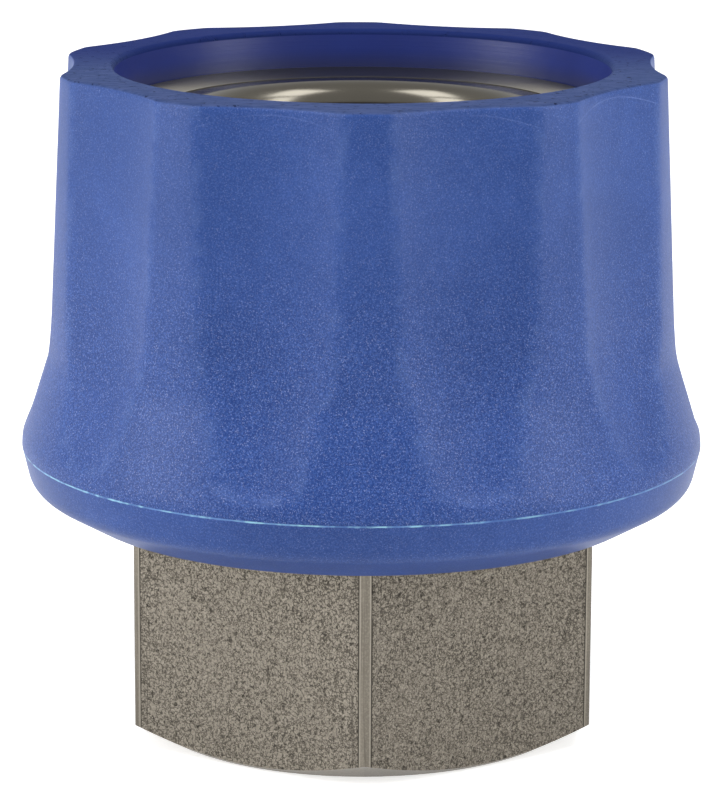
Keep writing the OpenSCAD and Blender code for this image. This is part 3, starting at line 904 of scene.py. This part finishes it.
def wound(name, wire, first, last, bottom, top, turns):
    """Round wire wound from one radius to another, its end turns closed."""
    g = Growth(
        name, wire=wire, first_radius=first, last_radius=last, bottom=bottom, top=top,
        turns=turns, closed=0.75, finish=spring_wire.material,
    )
    line = g.node(
        "GeometryNodeCurveSpiral", None,
        {"Resolution": 64, "Rotations": g.given("turns"), "Start Radius": g.given("first_radius"),
         "End Radius": g.given("last_radius"), "Height": 1.0},
    )
    along = g.node("GeometryNodeSplineParameter") * g.given("turns")
    pitch = g.given("wire") * 1.08
    closed, turns_all = g.given("closed"), g.given("turns")
    tall = g.given("top") - g.given("bottom") - g.given("wire")
    rise = (tall - 2 * closed * pitch) / (turns_all - 2 * closed)
    climb = (along.under(closed) * pitch
             + (along.between(closed, turns_all - closed) - closed) * rise
             + (along.over(turns_all - closed) - (turns_all - closed)) * pitch)
    place = g.node("GeometryNodeInputPosition")
    x = g.node("ShaderNodeSeparateXYZ", None, {0: place})
    height = g.given("bottom") + g.given("wire") / 2 + climb
    moved = g.node("ShaderNodeCombineXYZ", None, {0: x, 1: x.part("Y"), 2: height})
    line = g.node("GeometryNodeSetPosition", None, {"Geometry": line, "Position": moved})
    profile = g.node(
        "GeometryNodeCurvePrimitiveCircle", None,
        {"Resolution": 20, "Radius": g.given("wire") / 2},
    )
    wire_mesh = g.node(
        "GeometryNodeCurveToMesh", None,
        {"Curve": line, "Profile Curve": profile, "Fill Caps": True},
    )
    g.end(wire_mesh)
    return softened(g.grow(name), 40)


return_spring = wound(
    "return_spring_wound", wire=1.4 * MM, first=14.35 * MM, last=14.35 * MM,
    bottom=hex_top, top=29.2 * MM, turns=5.0,
)
dressed(return_spring, spring_wire, "coupling_body", "spring_wire", "return_spring")
valve_low, valve_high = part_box("valve_spring")
valve_spring = wound(
    "valve_spring_wound", wire=0.7 * MM, first=5.0 * MM, last=3.3 * MM,
    bottom=valve_low.z, top=valve_high.z, turns=3.5,
)
dressed(valve_spring, spring_wire, "coupling_body", "spring_wire", "valve_spring")


# The small pieces inside, whose solids have their shape already

for node, finish, body, slot_name in (
    ("valve_poppet", polished_steel, "valve", "polished_steel"),
    ("valve_seal", seal_rubber, "valve", "seal_rubber"),
    ("plug_seal", seal_rubber, "coupling_body", "seal_rubber"),
    ("body_seal", seal_rubber, "coupling_body", "seal_rubber"),
    ("backup_ring", guide_plastic, "coupling_body", "guide_plastic"),
    ("valve_guide", guide_plastic, "coupling_body", "guide_plastic"),
    ("stop_ring", spring_wire, "coupling_body", "spring_wire"),
    ("slip_washer", polished_steel, "slip_ring", "polished_steel"),
    ("grip_retaining_ring", spring_wire, "sleeve", "spring_wire"),
):
    dressed(smooth_copy(node), finish, body, slot_name, node)


# The studio

def softbox(name, azimuth, elevation, width, height):
    """A soft lamp that faces the coupling. Azimuth 0 is the camera's side, left is negative."""
    distance, radiance = 0.6, 7.0
    lamp = bpy.data.lights.new(name, "AREA")
    lamp.shape, lamp.size, lamp.size_y = "RECTANGLE", width, height
    lamp.energy = radiance * math.pi * width * height
    box = bpy.data.objects.new(name, lamp)
    a, e = math.radians(azimuth), math.radians(elevation)
    toward = Vector((math.sin(a) * math.cos(e), -math.cos(a) * math.cos(e), math.sin(e)))
    middle = Vector((0, 0, 0.024))
    box.location = middle + toward * distance
    box.rotation_euler = toward.to_track_quat("Z", "Y").to_euler()
    bpy.context.scene.collection.objects.link(box)
    return box


softbox("left_softbox", -72, 17, 0.26, 0.54)
softbox("right_softbox", 66, 17, 0.2, 0.54)
softbox("left_high", -72, 58, 0.26, 0.26)
softbox("right_high", 72, 58, 0.26, 0.26)

world = bpy.data.worlds.new("studio")
bpy.context.scene.world = world
world.use_nodes = True
air = Board(world.node_tree)
world.node_tree.nodes.clear()
rays = air.node("ShaderNodeLightPath", out="Is Camera Ray")
seen = rays.over(rays.part("Is Glossy Ray")).over(rays.part("Is Transmission Ray"))
# the room is brighter at its sides than in front and behind
aside = air.node("ShaderNodeTexCoord", out="Generated")
aside = air.node("ShaderNodeSeparateXYZ", None, {0: aside})
room = 0.1 + 0.16 * (-aside).over(0.0) + 0.1 * aside.over(0.0)
ambient = air.node("ShaderNodeBackground", None, {"Color": (1, 1, 1, 1), "Strength": room})
white = air.node("ShaderNodeBackground", None, {"Color": (1, 1, 1, 1), "Strength": 1.0})
mixed = air.node("ShaderNodeMixShader", None, {0: seen, 1: ambient, 2: white})
air.node("ShaderNodeOutputWorld", None, {"Surface": mixed})


def studio_floor():
    """A pale floor that reads white to the camera and keeps the coupling's shadow."""
    reach = 2.0
    corners = [(-reach, -reach, 0), (reach, -reach, 0), (reach, reach, 0), (-reach, reach, 0)]
    mesh = bpy.data.meshes.new("floor")
    mesh.from_pydata(corners, [], [(0, 1, 2, 3)])
    floor = bpy.data.objects.new("floor", mesh)
    bpy.context.scene.collection.objects.link(floor)
    material = bpy.data.materials.new("floor_paper")
    material.use_nodes = True
    material.node_tree.nodes.clear()
    b = Board(material.node_tree)
    paper = b.node("ShaderNodeBsdfDiffuse", None, {"Color": (0.86, 0.86, 0.86, 1)})
    glow = b.node("ShaderNodeEmission", None, {"Color": (1, 1, 1, 1), "Strength": 0.62})
    bright = b.node("ShaderNodeAddShader", None, {0: paper, 1: glow})
    ray = b.node("ShaderNodeLightPath", out="Is Camera Ray")
    ray = ray.over(ray.part("Is Glossy Ray")).over(ray.part("Is Transmission Ray"))
    surface = b.node("ShaderNodeMixShader", None, {0: ray, 1: paper, 2: bright})
    b.node("ShaderNodeOutputMaterial", None, {"Surface": surface})
    mesh.materials.append(material)


studio_floor()

camera = bpy.data.cameras.new("camera")
camera.sensor_width = 36
camera.lens = 175.9
camera.clip_start, camera.clip_end = 0.01, 20
viewer = bpy.data.objects.new("camera", camera)
bpy.context.scene.collection.objects.link(viewer)
view_distance, view_height, view_side = 0.2619, math.radians(13.36), math.radians(-1.0)
view_roll = 0.0043
target = Vector((-0.00007, 0, 0.0216))
toward = Vector((math.sin(view_side) * math.cos(view_height),
                 -math.cos(view_side) * math.cos(view_height), math.sin(view_height)))
viewer.location = target + toward * view_distance
aim = toward.to_track_quat("Z", "Y").to_matrix() @ Matrix.Rotation(view_roll, 3, "Z")
viewer.rotation_euler = aim.to_euler()
bpy.context.scene.camera = viewer
bpy.context.scene.view_settings.view_transform = "Standard"
